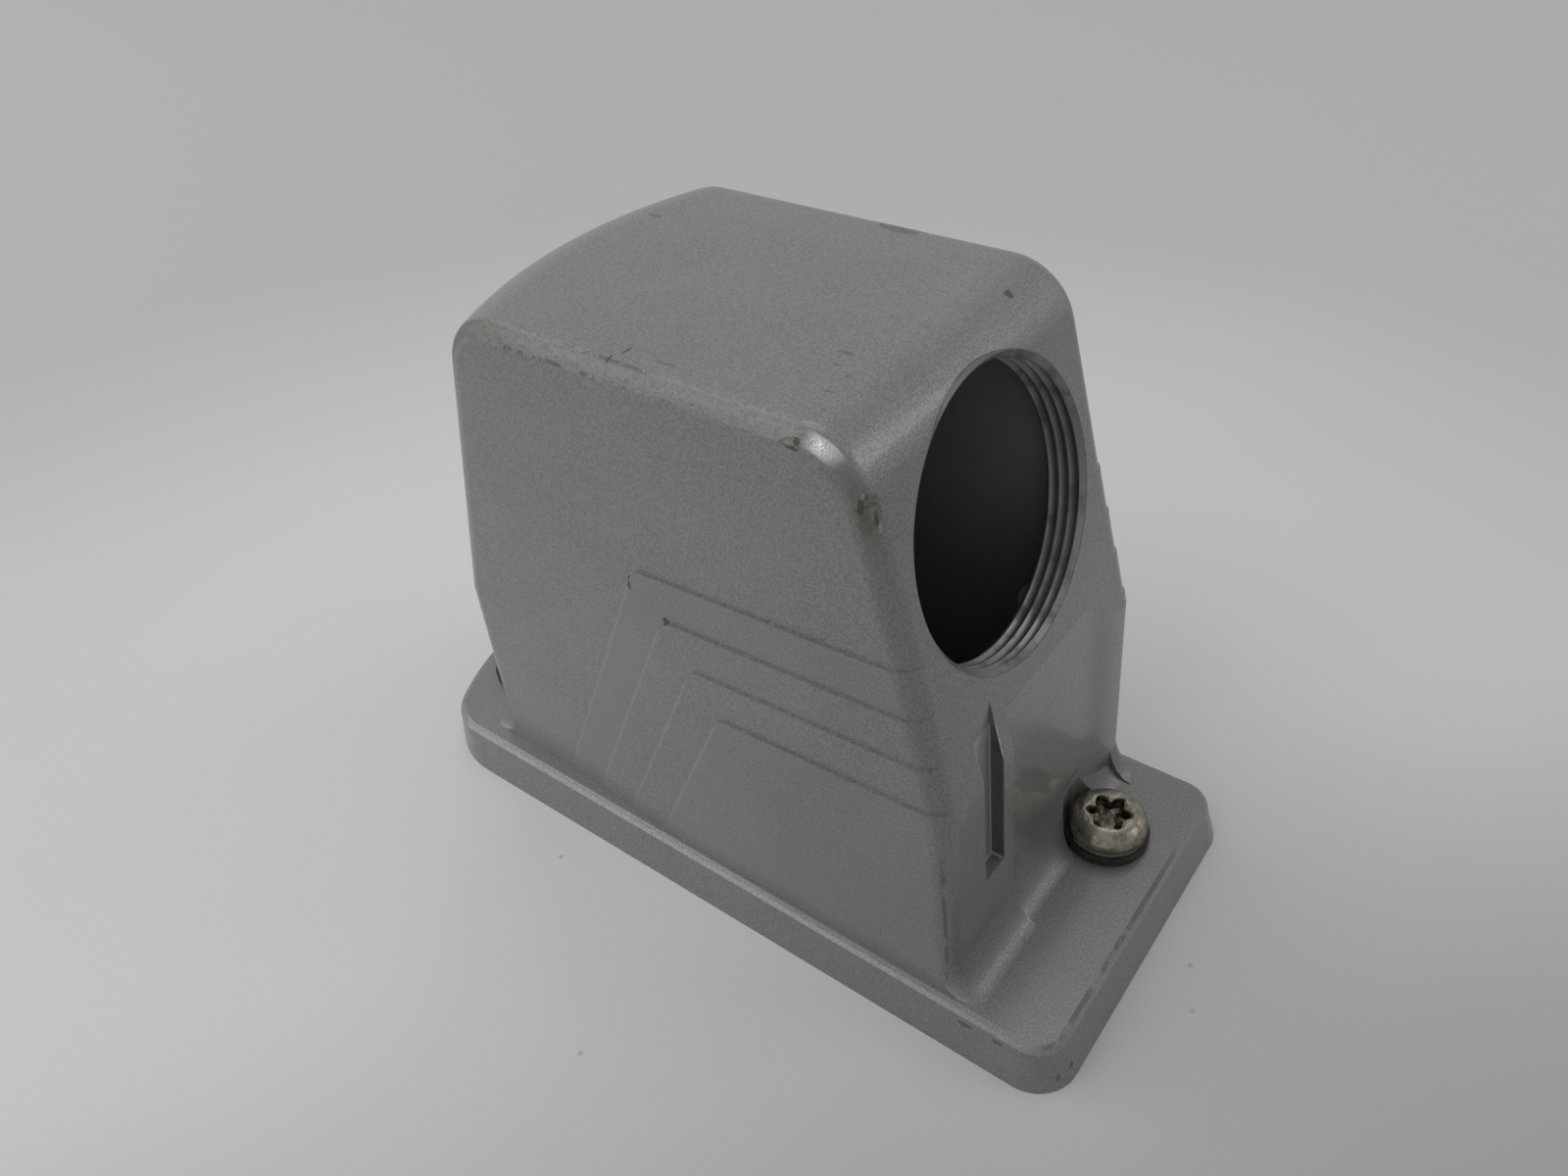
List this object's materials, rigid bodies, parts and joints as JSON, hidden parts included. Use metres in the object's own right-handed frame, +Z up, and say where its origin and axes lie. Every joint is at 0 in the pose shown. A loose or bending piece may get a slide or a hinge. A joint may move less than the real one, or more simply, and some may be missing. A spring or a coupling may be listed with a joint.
{
  "type": "connector hood",
  "caption": "Die-cast hood for a heavy rectangular connector, with a sloped threaded cable entry, a sealing flange and captive locking screws.",
  "frame": {"origin": "middle of the flange's outline in the sealing plane", "axes": "+X along the hood towards the cable entry, +Y across it, +Z up from the sealing plane"},
  "size_m": [0.131, 0.0592, 0.0924],
  "materials": {
    "hood_paint": "semi-gloss metallic grey, worn at the edges",
    "seal_rubber": "matt",
    "screw_steel": "worn plated steel",
    "ring_rubber": "matt"
  },
  "bodies": {
    "housing": {"hood": "hood_paint", "profile_seal": "seal_rubber"},
    "front_ring": {"front_screw_ring": "ring_rubber"},
    "front_locking_screw": {"front_screw": "screw_steel"},
    "rear_ring": {"rear_screw_ring": "ring_rubber"},
    "rear_locking_screw": {"rear_screw": "screw_steel"}
  },
  "joints": [
    {"name": "front_screw_lift", "type": "slide", "parent": "housing", "child": "front_ring", "axis": [0, 0, 1], "range_m": [0, 0.0023]},
    {"name": "front_screw_turn", "type": "hinge", "parent": "front_ring", "child": "front_locking_screw", "pos_m": [0.0528, 0.011, 0.0072], "axis": [0, 0, 1], "continuous": true},
    {"name": "rear_screw_lift", "type": "slide", "parent": "housing", "child": "rear_ring", "axis": [0, 0, 1], "range_m": [0, 0.0023]},
    {"name": "rear_screw_turn", "type": "hinge", "parent": "rear_ring", "child": "rear_locking_screw", "pos_m": [-0.0518, -0.011, 0.0072], "axis": [0, 0, 1], "continuous": true}
  ]
}
